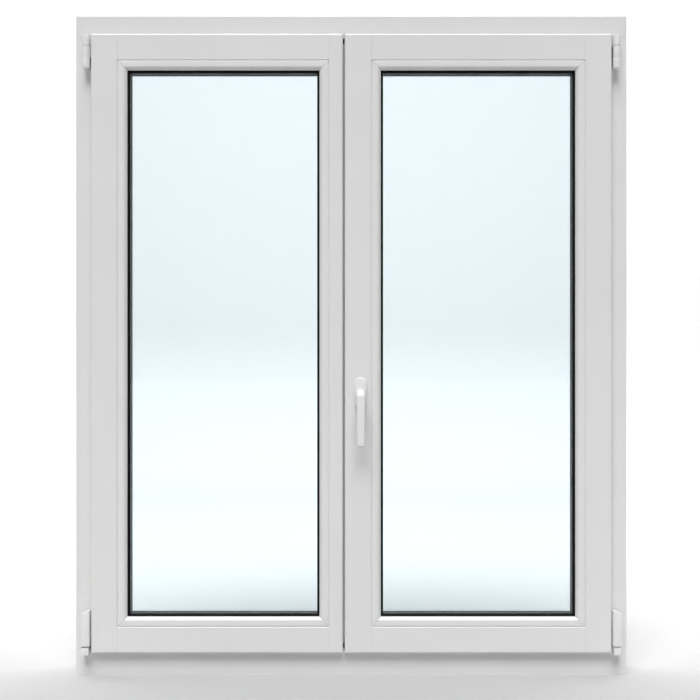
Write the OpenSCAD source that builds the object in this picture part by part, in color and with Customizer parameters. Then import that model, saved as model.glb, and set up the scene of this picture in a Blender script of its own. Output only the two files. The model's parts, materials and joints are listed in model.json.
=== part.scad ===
// Two-leaf inward-opening casement window, lacquered timber, millimetres.
// X is the width, Z is up, the room side faces -Y.
// The origin is at the middle of the sill's underside, in the middle of the frame's depth.

/* [Frame] */
// Overall width of the fixed frame
frame_w = 1180; // [1000:10:1500]
// Overall height of the fixed frame
frame_h = 1410; // [1100:10:1800]
// Depth of the fixed frame, room side to weather side
frame_d = 68; // [60:1:80]
// Room-side face height of the head, down to its rebate
head_face = 47; // [40:1:60]
// Room-side face height of the sill, up to its rebate
sill_face = 55; // [48:1:70]
// Room-side face width of each jamb
jamb_face = 41; // [36:1:60]
// Thickness of the weather-side stop
stop_t = 15; // [12:1:18]
// How far the stop covers the leaf
stop_cover = 15; // [12:1:18]

/* [Leaves] */
// Depth of a leaf
leaf_d = 68; // [62:1:72]
// Width of a leaf member on its face, lip edge to glazing groove
leaf_face = 57; // [50:1:70]
// Width of the left leaf's meeting stile on its face
left_face = 30; // [28:1:57]
// Thickness of the overlapping lip
lip_t = 15; // [12:1:18]
// Width of the overlapping lip
lip_w = 18; // [16:1:20]
// Air gap between a leaf's body and the frame's rebate
air_gap = 12; // [11:1:14]
// Gap between a lip's back and the frame's face
lip_gap = 3; // [2.8:0.1:4]
// Open joint between the two leaves at the room face
meet_gap = 4; // [3:0.5:6]
// Rounding of the leaves' outer room-side edges
edge_r = 4; // [2:0.5:5]

/* [Glazing] */
// Face width of a glazing bead
bead_w = 20; // [18:1:24]
// Width of the bead's sloping part
bead_slope = 6; // [2:1:12]
// Depth of the bead's slope
bead_drop = 6; // [4:1:9]
// Thickness of one pane
pane_t = 5; // [3:1:6]
// Width of the gas space between the panes
spacer_w = 20; // [12:1:20]
// Thickness of a compressed glazing gasket
gasket_t = 3; // [2:0.5:4]
// Width of the gasket that shows beside the bead
gasket_show = 5; // [2:0.5:6]
// Clearance between a pane's edge and the timber
block_t = 5; // [4:1:6]
// Height of the spacer bar
spacer_h = 7; // [6:1:8]
// Depth of the timber upstand behind the glass
upstand_d = 22; // [12:1:22]
// Side of the V-groove's chamfers
groove_c = 1.8; // [1:0.1:2.5]

/* [Hardware] */
// Distance from a leaf's edge out to the hinge axis
hinge_out = 10; // [9:0.5:12]
// Outer radius of the top hinge's fixed knuckles
knuckle_r = 8; // [7:0.5:9]
// Radius of the top hinge pins
hinge_pin_r = 3; // [2.5:0.5:3.5]
// Height of the top hinge
hinge_h = 68; // [60:1:80]
// Height of the bottom hinge's leaf part
band_h = 75; // [60:1:90]
// Height of the handle's axis above the sill's underside
handle_z = 603; // [450:1:800]
// Distance of the handle's axis from the edge of the leaf's body
backset = 16; // [15:0.5:20]
// Length of the handle lever below its axis
lever_l = 111; // [90:1:130]
// Projection of the handle from the leaf's face
handle_out = 48; // [40:1:60]
// Side of the square spindle
spindle = 7; // [7:1:8]
// Length of the stay arm
arm_l = 445; // [350:5:460]
// Throw of the edge bolts
bolt_throw = 18; // [12:1:20]
// Radius of the edge bolts
bolt_r = 4; // [3:0.5:5]
// Radius of the wall-fixing holes in the jambs
fixing_r = 3.1; // [2.5:0.1:4]
// Distance between wall-fixing holes
fixing_step = 450; // [300:10:500]

/* [Hidden] */
$fn = 48;
e = 0.01;
play = 0.3;
small_c = 0.6;
mitre = 0.1;

// places in the depth
front = -frame_d / 2;
back = frame_d / 2;
lip_back = front - lip_gap;
room = lip_back - lip_t;
leaf_back = room + leaf_d;
stop_y = back - stop_t;
glass_back = leaf_back - upstand_d - gasket_t;
glass_front = glass_back - 2 * pane_t - spacer_w;
bead_back = glass_front - gasket_t;

// places in the height, lip and body of the leaves
lip_lap = lip_w - air_gap;
lip_z0 = sill_face - lip_lap;
lip_z1 = frame_h - head_face + lip_lap;
body_z0 = lip_z0 + lip_w;
body_z1 = lip_z1 - lip_w;
head_z = frame_h - head_face;

// places in the width, for the right leaf and the left leaf
half_w = frame_w / 2;
jamb_x = half_w - jamb_face;
lip_x = jamb_x + lip_lap;
body_x = lip_x - lip_w;
r_lip = -lip_w + meet_gap;
r_body = r_lip + lip_w;
l_lip = r_lip - meet_gap;
l_body = r_body - air_gap;
stop_x = body_x - stop_cover;
pin_x = lip_x + hinge_out;
opening_z0 = lip_z0 + leaf_face;
opening_z1 = lip_z1 - leaf_face;
// opening of each leaf between its groove lines: [left edge, right edge]
r_open = [r_lip + leaf_face, lip_x - leaf_face];
l_open = [-r_open[1], l_lip - left_face];

// hardware places
hinge_z1 = lip_z1 - 5;
hinge_z0 = hinge_z1 - hinge_h;
knuckle_h = 21;
mid_z0 = hinge_z0 + knuckle_h;
mid_z1 = hinge_z1 - knuckle_h - 1;
hinge_screw_zs = [hinge_z0 + 10, hinge_z1 - 11];
hinge_screw_r = 2;
band_gap = 17;
band_z0 = lip_z0 + band_gap;
band_z1 = band_z0 + band_h;
web_z0 = band_z0 + 20;
web_z1 = band_z0 + 50;
band_pin_r = 3.5;
band_pin_l = 28;
tilt_y = room + lip_t - 5.5;
tilt_z = lip_z0 + 8;
tilt_pin_r = 3;
bush_r = 4.5;
plate_t = lip_gap - 2 * play;
plate_y = lip_back + play;
arm_z = body_z1 + 3.4;
arm_t = 3;
arm_y0 = front + 3.5;
arm_y1 = front + 16;
guide_t = 2.5;
handle_x = r_body + backset;
gear_y0 = front + 10;
gear_y1 = gear_y0 + 20;
rod_y = (gear_y0 + gear_y1) / 2;
rod_w = 9;
rod_t = 2.5;
rod_x = r_body + 0.8;
rod_travel = 36;
rod_slot_low = 100;
rod_slot_high = 34;
cam_r = 4;
cam_z = lip_z1 - 107;
gear_half = 50;
hub_r = 9;
case_bore_r = 6;
rosette_screw_zs = [handle_z - 21.5, handle_z + 21.5];
rosette_screw_r = 2.5;
spindle_in = 22;
face_t = 2.5;
bolt_x = l_body - 6;
bolt_y = front + 14;
bolt_in = 9;
bolt_l = 60;
bolt_knob = 30;
knob_r = 3;
edge_plate_t = 1.5;
seal_bottom_y = front - 1.4;
stop_step = 15;
leaf_plate_d = 30;
white = "WhiteSmoke";
steel = "Silver";
black = "DimGray";

// A block given by its low and high corners
module block(lo, hi) {
    translate(lo)
        cube(hi - lo);
}

// A round bar along X, Y or Z from one end to the other
module bar_x(x0, x1, y, z, r) {
    translate([x0, y, z])
        rotate([0, 90, 0])
            cylinder(r = r, h = x1 - x0);
}
module bar_y(y0, y1, x, z, r) {
    translate([x, y0, z])
        rotate([-90, 0, 0])
            cylinder(r = r, h = y1 - y0);
}
module bar_z(z0, z1, x, y, r) {
    translate([x, y, z0])
        cylinder(r = r, h = z1 - z0);
}

// Cutter for a chamfer of side c along Z or X, centred on an edge
module edge_cut_z(x, y, z0, z1, c) {
    translate([x, y, z0])
        rotate([0, 0, 45])
            translate([-c / sqrt(2), -c / sqrt(2), 0])
                cube([c * sqrt(2), c * sqrt(2), z1 - z0]);
}
module edge_cut_x(x0, x1, y, z, c) {
    translate([x0, y, z])
        rotate([45, 0, 0])
            translate([0, -c / sqrt(2), -c / sqrt(2)])
                cube([x1 - x0, c * sqrt(2), c * sqrt(2)]);
}

// Cutter that rounds a room-side edge running along Z (sx: side that is rounded away) or along X
module round_cut_z(x, z0, z1, sx) {
    xc = x - sx * edge_r;
    difference() {
        block([min(xc, x + sx), room - 1, z0], [max(xc, x + sx), room + edge_r, z1]);
        bar_z(z0 - 1, z1 + 1, xc, room + edge_r, edge_r);
    }
}
module round_cut_x(x0, x1, z, sz) {
    zc = z - sz * edge_r;
    difference() {
        block([x0, room - 1, min(zc, z + sz)], [x1, room + edge_r, max(zc, z + sz)]);
        bar_x(x0 - 1, x1 + 1, room + edge_r, zc, edge_r);
    }
}

// A flat ring in the XZ plane around an opening: outer edge at distance a from it, inner edge at b
module ring(open, a, b, y0, y1) {
    difference() {
        block([open[0] + a, y0, opening_z0 + a], [open[1] - a, y1, opening_z1 - a]);
        block([open[0] + b, y0 - 1, opening_z0 + b], [open[1] - b, y1 + 1, opening_z1 - b]);
    }
}

// ---- fixed frame ----

module frame_head() {
    color(white)
        difference() {
            union() {
                block([-half_w, front, head_z], [half_w, stop_y, frame_h]);
                block([-half_w, stop_y, body_z1 - stop_cover], [half_w, back, frame_h]);
            }
            bar_z(head_z - 1, head_z + bolt_in + 4, bolt_x, bolt_y, bolt_r + 1);
        }
}

module frame_sill() {
    color(white)
        difference() {
            union() {
                block([-half_w, front, 0], [half_w, stop_y, sill_face]);
                block([-half_w, stop_y, 0], [half_w, back, sill_face - stop_step]);
            }
            bar_z(sill_face - bolt_in - 4, sill_face + 1, bolt_x, bolt_y, bolt_r + 1);
        }
}

// Heights of the wall-fixing holes
fixing_zs = [for (i = [-1 : 1]) frame_h / 2 - 5 + i * fixing_step];
fixing_y = front + 30;
cap_r = 7;
cap_deep = 3;

module jamb() {
    color(white)
        difference() {
            union() {
                block([jamb_x, front, sill_face], [half_w, stop_y, head_z]);
                block([stop_x, stop_y, sill_face - stop_step], [half_w, back, body_z1 - stop_cover]);
            }
            for (z = [sill_face, head_z])
                edge_cut_x(jamb_x - 1, half_w + 1, front, z, small_c);
            for (z = fixing_zs) {
                bar_x(jamb_x - 1, half_w + 1, fixing_y, z, fixing_r);
                bar_x(jamb_x - 1, jamb_x + cap_deep, fixing_y, z, cap_r);
            }
            block([jamb_x - 1, stop_y - e, 0], [half_w + 1, back + 1, sill_face - stop_step]);
        }
}
module frame_jamb_right() jamb();
module frame_jamb_left() mirror([1, 0, 0]) jamb();

module fixing_caps() {
    color(white)
        for (s = [0, 1])
            mirror([s, 0, 0])
                for (z = fixing_zs)
                    bar_x(jamb_x + 0.5, jamb_x + cap_deep, fixing_y, z, cap_r - 0.1);
}

// Weather-side aluminium rail on the sill: base, upstand and drip nose
module rain_rail() {
    base_z = sill_face - stop_step;
    color("LightGray")
        translate([-stop_x + 0.2, 0, 0])
            rotate([90, 0, 90])
                linear_extrude(2 * stop_x - 0.4)
                    polygon([
                        [stop_y, base_z], [back + 5, base_z], [back + 5, base_z - 8], [back + 7, base_z - 8],
                        [back + 7, base_z + 4], [stop_y + 8, base_z + 9], [stop_y + 3, body_z0 + 12],
                        [stop_y, body_z0 + 12]
                    ]);
}

// Weather seal between the stop and the leaves, in three runs and one on the rain rail
module frame_seal() {
    seal_w = 6;
    y0 = leaf_back + play;
    y1 = stop_y;
    zb = body_z0 + 3;
    zt = body_z1 - stop_cover;
    color(black) {
        block([-stop_x, y0, zt], [stop_x, y1, zt + seal_w]);
        for (s = [0, 1])
            mirror([s, 0, 0])
                block([stop_x, y0, zb], [stop_x + seal_w, y1, zt]);
        block([-stop_x + 0.2, y0, zb], [stop_x - 0.2, y1, zb + seal_w]);
    }
}

// Fixed part of a top hinge: two knuckles on a back plate
module top_bearing() {
    color(white)
        difference() {
            union() {
                for (z = [[hinge_z0, mid_z0], [mid_z1, hinge_z1]]) {
                    bar_z(z[0], z[1], pin_x, room, knuckle_r);
                    block([pin_x - 4.5, room, z[0]], [pin_x + 6, front, z[1]]);
                }
                block([pin_x - 4.5, front - 4, hinge_z0], [pin_x + 6, front, hinge_z1]);
            }
            bar_z(hinge_z0 + 3, hinge_z1 + 1, pin_x, room, hinge_pin_r);
            for (z = hinge_screw_zs)
                bar_y(front - 3, front + 1, pin_x + 0.5, z, hinge_screw_r);
        }
}
module top_hinge_bearing_right() top_bearing();
module top_hinge_bearing_left() mirror([1, 0, 0]) top_bearing();

module top_hinge_pins() {
    color(steel)
        for (s = [0, 1])
            mirror([s, 0, 0])
                bar_z(hinge_z0 + 3, hinge_z1 - 0.5, pin_x, room, hinge_pin_r);
}

// Fixed part of a bottom hinge: a block on the frame with a round front and an upright pin
module bottom_bearing() {
    color(white) {
        bar_z(lip_z0 - 2, band_z0 - play, pin_x, room, 5.2);
        block([pin_x - 5, room, lip_z0 - 2], [pin_x + 7, front, band_z0 - play]);
        bar_z(band_z0 - 2, band_z0 + band_pin_l, pin_x, room, band_pin_r);
    }
}
module bottom_hinge_bearing_right() bottom_bearing();
module bottom_hinge_bearing_left() mirror([1, 0, 0]) bottom_bearing();

// Screws from the hinge plates into the frame
module hinge_screws() {
    color(steel)
        for (s = [0, 1])
            mirror([s, 0, 0])
                for (z = hinge_screw_zs)
                    bar_y(front - 3, front, pin_x + 0.5, z, hinge_screw_r);
}

// Keep plates for the edge bolts, let in flush with the rebates' air gap
module keep_plate(z0, z1) {
    half = 9;
    color(steel)
        difference() {
            block([bolt_x - half, bolt_y - half, z0], [bolt_x + half, bolt_y + half, z1]);
            bar_z(z0 - 1, z1 + 1, bolt_x, bolt_y, bolt_r + 0.5);
        }
}
module head_keep() keep_plate(head_z - edge_plate_t, head_z);
module sill_keep() keep_plate(sill_face, sill_face + edge_plate_t);

// ---- timber of the leaves ----

// Whole timber outline of the right leaf, and of the left leaf, without the glass opening
module right_blank() {
    block([r_lip, room, lip_z0], [lip_x, lip_back, lip_z1]);
    block([r_body, lip_back - e, body_z0], [body_x, leaf_back, body_z1]);
}
module left_blank() {
    block([-lip_x, room, lip_z0], [l_lip, lip_back, lip_z1]);
    block([-body_x, lip_back - e, body_z0], [l_lip, leaf_back, body_z1]);
    block([l_lip - 1, front, body_z0], [l_body, leaf_back, body_z1]);
}

// Rebate for the glass, the clear opening, and the groove's chamfer along a stile or a rail
module glass_cut(open, kind) {
    block([open[0], room - 1, opening_z0], [open[1], leaf_back - upstand_d, opening_z1]);
    block([open[0] + bead_w, room - 1, opening_z0 + bead_w],
        [open[1] - bead_w, leaf_back + 1, opening_z1 - bead_w]);
    if (kind == "stile")
        for (x = open)
            edge_cut_z(x, room, opening_z0, opening_z1, groove_c);
    else
        for (z = [opening_z0, opening_z1])
            edge_cut_x(open[0] - 1, open[1] + 1, room, z, groove_c);
}

// Part of a leaf that belongs to a stile or a rail; side is 0 for low X or Z and 1 for high
module stile_zone(open, side) {
    far = 2 * frame_w;
    x0 = side == 0 ? -far : open[1];
    x1 = side == 0 ? open[0] : far;
    block([x0, -far, -far], [x1, far, 2 * far]);
    ux = side == 0 ? [open[0] - e, open[0] + bead_w] : [open[1] - bead_w, open[1] + e];
    block([ux[0], -far, opening_z0 + bead_w], [ux[1], far, opening_z1 - bead_w]);
}
module rail_zone(open, side) {
    far = 2 * frame_w;
    z0 = side == 0 ? -far : opening_z1 - bead_w;
    z1 = side == 0 ? opening_z0 + bead_w : 2 * far;
    block([open[0], -far, z0], [open[1], far, z1]);
}

// Fine chamfers at the rails' ends show the butt joints on the room face
module rail_end_cuts(open) {
    for (x = open)
        edge_cut_z(x, room, lip_z0 - 1, lip_z1 + 1, small_c);
}

module left_rounds() {
    round_cut_z(-lip_x, lip_z0 - 1, lip_z1 + 1, -1);
    round_cut_z(l_lip, lip_z0 - 1, lip_z1 + 1, 1);
    round_cut_x(-lip_x - 1, l_lip + 1, lip_z0, -1);
    round_cut_x(-lip_x - 1, l_lip + 1, lip_z1, 1);
}
module right_rounds() {
    round_cut_z(r_lip, lip_z0 - 1, lip_z1 + 1, -1);
    round_cut_z(lip_x, lip_z0 - 1, lip_z1 + 1, 1);
    round_cut_x(r_lip - 1, lip_x + 1, lip_z0, -1);
    round_cut_x(r_lip - 1, lip_x + 1, lip_z1, 1);
}

module left_member(kind, side) {
    color(white)
        difference() {
            intersection() {
                left_blank();
                if (kind == "stile")
                    stile_zone(l_open, side);
                else
                    rail_zone(l_open, side);
            }
            glass_cut(l_open, kind);
            left_rounds();
            if (kind == "rail")
                rail_end_cuts(l_open);
            if (kind == "stile" && side == 1)
                bolt_channels();
        }
}
module right_member(kind, side) {
    color(white)
        difference() {
            intersection() {
                right_blank();
                if (kind == "stile")
                    stile_zone(r_open, side);
                else
                    rail_zone(r_open, side);
            }
            glass_cut(r_open, kind);
            right_rounds();
            if (kind == "rail")
                rail_end_cuts(r_open);
            if (kind == "stile" && side == 0)
                lock_channel();
            if (kind == "stile" && side == 1)
                bar_x(lip_x - 14, lip_x + 1, tilt_y, tilt_z, bush_r);
        }
}

// Grooves in the left leaf's meeting stile for the edge bolts
module bolt_channels() {
    w = bolt_r + 0.5;
    run = bolt_l + bolt_throw + 1;
    for (z = [[body_z0 - 1, body_z0 + run], [body_z1 - run, body_z1 + 1]])
        block([bolt_x - w, bolt_y - w, z[0]], [l_body + 1, bolt_y + w, z[1]]);
}

// Groove for the lock rod, pocket for the gearbox and hole for the spindle
module lock_channel() {
    half = rod_w / 2 + play;
    block([r_body - 1, rod_y - half, lip_z0 + rod_slot_low],
        [rod_x + rod_t + 0.4, rod_y + half, lip_z1 - rod_slot_high]);
    block([r_body - 1, gear_y0, handle_z - gear_half], [handle_x + 12, gear_y1, handle_z + gear_half]);
    bar_y(room - 1, gear_y0 + 1, handle_x, handle_z, hub_r);
    for (z = rosette_screw_zs)
        bar_y(room - 1, gear_y0 + 1, handle_x, z, rosette_screw_r);
}

module left_hinge_stile() left_member("stile", 0);
module left_meeting_stile() left_member("stile", 1);
module left_bottom_rail() left_member("rail", 0);
module left_top_rail() left_member("rail", 1);
module right_meeting_stile() right_member("stile", 0);
module right_hinge_stile() right_member("stile", 1);
module right_bottom_rail() right_member("rail", 0);
module right_top_rail() right_member("rail", 1);

// ---- glazing, the same in both leaves ----

module pane(open, y0) {
    color("LightCyan", 0.4)
        block([open[0] + block_t, y0, opening_z0 + block_t],
            [open[1] - block_t, y0 + pane_t, opening_z1 - block_t]);
}
spacer_in = bead_w - 2.5 + spacer_h;
module spacer(open) {
    color(black)
        ring(open, spacer_in - spacer_h, spacer_in, glass_front + pane_t, glass_back - pane_t);
}
module edge_sealant(open) {
    color(black)
        ring(open, block_t + 1, spacer_in - spacer_h, glass_front + pane_t, glass_back - pane_t);
}
module inner_gasket(open) {
    color(black)
        ring(open, bead_w - 5, bead_w + gasket_show, bead_back, glass_front);
}
module outer_gasket(open) {
    color(black)
        ring(open, bead_w - 10, bead_w + gasket_show, glass_back, leaf_back - upstand_d);
}

// Section of a bead in the YZ plane, its outer edge at Z = 0 and its glass edge upward
module bead_section() {
    polygon([
        [room + groove_c, 0], [room, groove_c], [room, bead_w - bead_slope],
        [room + bead_drop, bead_w], [bead_back, bead_w], [bead_back, 0]
    ]);
}

// One mitred bead of the given length along +X, its outer edge on the X axis
module mitred_bead(length) {
    intersection() {
        rotate([90, 0, 90])
            linear_extrude(length)
                bead_section();
        rotate([90, 0, 0])
            linear_extrude(400, center = true)
                polygon([
                    [mitre, 0], [length - mitre, 0],
                    [length - bead_w - mitre, bead_w], [bead_w + mitre, bead_w]
                ]);
    }
}

// Four mitred beads round an opening
module glazing_beads(open) {
    wide = open[1] - open[0];
    tall = opening_z1 - opening_z0;
    color(white)
        translate([open[0], 0, opening_z0]) {
            mitred_bead(wide);
            translate([wide, 0, tall])
                rotate([0, 180, 0])
                    mitred_bead(wide);
            translate([wide, 0, 0])
                rotate([0, -90, 0])
                    mitred_bead(tall);
            translate([0, 0, tall])
                rotate([0, 90, 0])
                    mitred_bead(tall);
        }
}

// Blocks that carry and centre the glass unit in its rebate
block_l = 90;
module glazing_blocks(open) {
    y0 = bead_back + 1;
    y1 = leaf_back - upstand_d - 1;
    color(black) {
        for (x = [open[0] + 60, open[1] - 60 - block_l])
            for (z = [opening_z0, opening_z1 - block_t])
                block([x, y0, z], [x + block_l, y1, z + block_t]);
        for (x = [open[0], open[1] - block_t])
            for (z = [opening_z0 + 80, opening_z1 - 80 - block_l])
                block([x, y0, z], [x + block_t, y1, z + block_l]);
    }
}

module left_inner_pane() pane(l_open, glass_front);
module left_outer_pane() pane(l_open, glass_back - pane_t);
module left_spacer() spacer(l_open);
module left_edge_sealant() edge_sealant(l_open);
module left_inner_gasket() inner_gasket(l_open);
module left_outer_gasket() outer_gasket(l_open);
module left_glazing_beads() glazing_beads(l_open);
module left_glazing_blocks() glazing_blocks(l_open);
module right_inner_pane() pane(r_open, glass_front);
module right_outer_pane() pane(r_open, glass_back - pane_t);
module right_spacer() spacer(r_open);
module right_edge_sealant() edge_sealant(r_open);
module right_inner_gasket() inner_gasket(r_open);
module right_outer_gasket() outer_gasket(r_open);
module right_glazing_beads() glazing_beads(r_open);
module right_glazing_blocks() glazing_blocks(r_open);

// ---- seals in the lips ----

// Upright run at the hinge side, left out where the hinge plates pass; X is for the right leaf
seal_h = 4;
seal_y1 = front - play;
module hinge_side_seal(bottom_plate) {
    z_low = bottom_plate ? band_z0 + 55 : lip_z0 + 30;
    block([lip_x - seal_h - 1, lip_back, z_low], [lip_x - 1, seal_y1, mid_z0 - 6]);
}
module cross_seals(x0, x1) {
    block([x0, lip_back, lip_z1 - seal_h - 1], [x1, seal_y1, lip_z1 - 1]);
    // the bottom run is thinner, because the lip's bottom edge swings back when the leaf tilts
    block([x0, lip_back, lip_z0 + 1], [x1, seal_bottom_y, lip_z0 + 1 + seal_h / 2]);
}
module left_overlap_seal() {
    color(black) {
        mirror([1, 0, 0])
            hinge_side_seal(true);
        cross_seals(-lip_x + 25, l_lip - 8);
    }
}
module right_overlap_seal() {
    color(black) {
        hinge_side_seal(false);
        cross_seals(r_lip + 6, lip_x - 25);
        block([r_lip + 1, lip_back, lip_z0 + 30], [r_lip + 1 + seal_h, seal_y1, lip_z1 - 30]);
    }
}

// ---- hinge parts on the leaves ----

// Knuckle between the fixed knuckles, with the web and plate that reach behind the lip
module top_lug() {
    z0 = mid_z0 + play;
    z1 = mid_z1 - play;
    difference() {
        union() {
            bar_z(z0, z1, pin_x, room, knuckle_r - 0.5);
            block([lip_x + 1, room, z0 + 1], [lip_x + 4, front - play, z1 - 1]);
        }
        bar_z(z0 - 1, z1 + 1, pin_x, room, hinge_pin_r + play);
    }
    block([body_x + 4, plate_y, z0 + 1], [lip_x + 4, plate_y + plate_t, z1 - 1]);
}

module left_top_lug() {
    color(white)
        mirror([1, 0, 0]) {
            top_lug();
            block([body_x, plate_y, mid_z0 + 2], [body_x + 4, front + leaf_plate_d, mid_z1 - 2]);
        }
}

// Upright leaf part of a bottom hinge, with its bore for the bearing's pin and a sloping top
band_top_w = 17;
band_top_h = 7;
module band_body() {
    difference() {
        block([lip_x + 1.5, room - 9, band_z0], [pin_x + 8.5, room + 9, band_z1]);
        bar_z(band_z0 - 1, band_z0 + band_pin_l + 1, pin_x, room, band_pin_r + play);
        translate([pin_x + 8.5, 0, band_z1])
            rotate([90, 0, 0])
                linear_extrude(400, center = true)
                    polygon([[-band_top_w, 1], [1, 1], [1, -band_top_h]]);
    }
}

module left_bottom_band() {
    color(white)
        mirror([1, 0, 0]) {
            band_body();
            block([lip_x + 1.5, room + 8, web_z0], [lip_x + 4.5, front - play, web_z1]);
            block([body_x, plate_y, web_z0], [lip_x + 4.5, plate_y + plate_t, web_z1]);
            block([body_x, plate_y, web_z0], [body_x + 4, front + leaf_plate_d, web_z1]);
        }
}

// Right band: it turns with the leaf but stays upright in tilt, and carries the level tilt pin
module right_corner_band() {
    color(white) {
        band_body();
        block([lip_x + 1.5, tilt_y - 5.5, lip_z0 + 1], [lip_x + 4.4, tilt_y + 5.5, band_z0 + 1]);
        bar_x(lip_x - 13, lip_x + 2, tilt_y, tilt_z, tilt_pin_r);
    }
}

module tilt_bush() {
    color(steel)
        difference() {
            bar_x(lip_x - 14, lip_x, tilt_y, tilt_z, bush_r);
            bar_x(lip_x - 15, lip_x + 1, tilt_y, tilt_z, tilt_pin_r + play);
        }
}

// Stay arm: knuckle, plate behind the lip, riser and the flat arm above the leaf's body
arm_x0 = pin_x - arm_l;
module right_stay_arm() {
    color(steel) {
        top_lug();
        block([body_x + 4, plate_y, mid_z0 + 2], [body_x + 9, arm_y1, arm_z + arm_t]);
        block([arm_x0 - 9, arm_y0, arm_z], [body_x + 9, arm_y1, arm_z + arm_t]);
        bar_z(body_z1 + 0.6, arm_z, arm_x0, (arm_y0 + arm_y1) / 2, 2.5);
    }
}

// Guide rail on the leaf's top edge, with the slot that the arm's pin runs in
module stay_guide() {
    half = 60;
    slot = [-40, 45];
    wall = 1.5;
    color(steel)
        difference() {
            block([arm_x0 - half, arm_y0, body_z1], [arm_x0 + half, arm_y1, body_z1 + guide_t]);
            block([arm_x0 + slot[0], arm_y0 + wall, body_z1 - 1],
                [arm_x0 + slot[1], arm_y1 - wall, body_z1 + guide_t + 1]);
        }
}

// ---- lock of the right leaf ----

module lock_faceplate() {
    x0 = r_body - face_t;
    z0 = lip_z0 + rod_slot_low - 10;
    z1 = lip_z1 - rod_slot_high + 4;
    slot = cam_r + play;
    color(steel)
        difference() {
            block([x0, rod_y - 8, z0], [r_body, rod_y + 8, z1]);
            block([x0 - 1, rod_y - slot, cam_z - cam_r - 1],
                [r_body + 1, rod_y + slot, cam_z + rod_travel + cam_r + 1]);
        }
}

module lock_rod() {
    color(steel) {
        block([rod_x, rod_y - rod_w / 2, lip_z0 + rod_slot_low + 10],
            [rod_x + rod_t, rod_y + rod_w / 2, cam_z + 12]);
        bar_x(l_body + 2.5, rod_x, rod_y, cam_z, cam_r);
    }
}

module gearbox_case() {
    x0 = rod_x + rod_t + 1;
    x1 = handle_x + 11.5;
    color(steel)
        difference() {
            block([x0, gear_y0 + 0.5, handle_z - gear_half + 1],
                [x1, gear_y1 - 0.5, handle_z + gear_half - 1]);
            block([x0 + 1.5, gear_y0 + 2.5, handle_z - gear_half + 4],
                [x1 - 1.5, gear_y1 - 2.5, handle_z + gear_half - 4]);
            bar_y(gear_y0 - 1, gear_y1 + 1, handle_x, handle_z, case_bore_r);
        }
}

module gear_hub() {
    color(steel)
        difference() {
            bar_y(gear_y0 + 3, gear_y1 - 3, handle_x, handle_z, hub_r);
            spindle_bar(gear_y0, gear_y1);
        }
}

module spindle_bar(y0, y1) {
    half = spindle / 2;
    block([handle_x - half, y0, handle_z - half], [handle_x + half, y1, handle_z + half]);
}
module handle_spindle() {
    color(steel)
        spindle_bar(room - spindle_in, gear_y1 - 2);
}

rosette_w = 26;
rosette_half = 20;
rosette_t = 10;
module handle_rosette() {
    color(white)
        difference() {
            union() {
                for (s = [-1, 1])
                    bar_y(room - rosette_t, room, handle_x, handle_z + s * rosette_half, rosette_w / 2);
                block([handle_x - rosette_w / 2, room - rosette_t, handle_z - rosette_half],
                    [handle_x + rosette_w / 2, room, handle_z + rosette_half]);
            }
            bar_y(room - rosette_t - 1, room + 1, handle_x, handle_z, case_bore_r);
            for (z = rosette_screw_zs)
                bar_y(room - rosette_t - 1, room + 1, handle_x, z, rosette_screw_r);
        }
}

module rosette_screws() {
    color(steel)
        for (z = rosette_screw_zs)
            bar_y(room - 7, gear_y0 + 0.5, handle_x, z, rosette_screw_r);
}

lever_w = 18;
lever_end = 15;
lever_t = 13;
neck_r = 9.5;
module handle_lever() {
    y0 = room - handle_out;
    color(white)
        difference() {
            union() {
                bar_y(y0, room - rosette_t - play, handle_x, handle_z, neck_r);
                translate([handle_x, y0 + lever_t, handle_z])
                    rotate([90, 0, 0])
                        linear_extrude(lever_t)
                            polygon([
                                [-lever_w / 2, 10], [lever_w / 2, 10],
                                [lever_end / 2, -lever_l], [-lever_end / 2, -lever_l]
                            ]);
            }
            spindle_bar(room - spindle_in, room);
        }
}

// Hooked plate on the left leaf's edge that the cam runs behind
module striker() {
    color(steel) {
        block([l_body, rod_y - cam_r - 5, cam_z - 13],
            [l_body + edge_plate_t, rod_y + cam_r + 5, cam_z + 12]);
        block([l_body, rod_y - cam_r - 3.5, cam_z - 12], [l_body + 5, rod_y - cam_r - 0.5, cam_z + 10]);
    }
}

// ---- left leaf's meeting edge ----

// Weather-side batten fixed to the left leaf, which the right leaf closes against
batten_w = 32;
batten_up = 18;
module meeting_batten() {
    color(white)
        difference() {
            block([l_body - batten_w, leaf_back, body_z0 + batten_up],
                [r_body + stop_cover, leaf_back + stop_t, body_z1 - stop_cover - play]);
            block([l_body, leaf_back - 1, 0], [r_body + stop_cover + 1, leaf_back + 3, frame_h]);
        }
}

module bolt_plates() {
    tall = bolt_l + 10;
    low_knob = body_z0 + bolt_knob;
    high_knob = body_z1 - bolt_knob - bolt_throw;
    slot = knob_r + 0.5;
    color(steel)
        for (place = [[body_z0, low_knob], [body_z1 - tall, high_knob]])
            difference() {
                block([l_body, bolt_y - 8, place[0]], [l_body + edge_plate_t, bolt_y + 8, place[0] + tall]);
                block([l_body - 1, bolt_y - slot, place[1] - 5],
                    [l_body + 3, bolt_y + slot, place[1] + bolt_throw + 5]);
            }
}

module top_bolt() {
    color(steel) {
        bar_z(body_z1 - bolt_l, head_z + bolt_in, bolt_x, bolt_y, bolt_r);
        bar_x(bolt_x, l_body + 4, bolt_y, body_z1 - bolt_knob, knob_r);
    }
}
module bottom_bolt() {
    color(steel) {
        bar_z(sill_face - bolt_in, body_z0 + bolt_l, bolt_x, bolt_y, bolt_r);
        bar_x(bolt_x, l_body + 4, bolt_y, body_z0 + bolt_knob, knob_r);
    }
}

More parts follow.
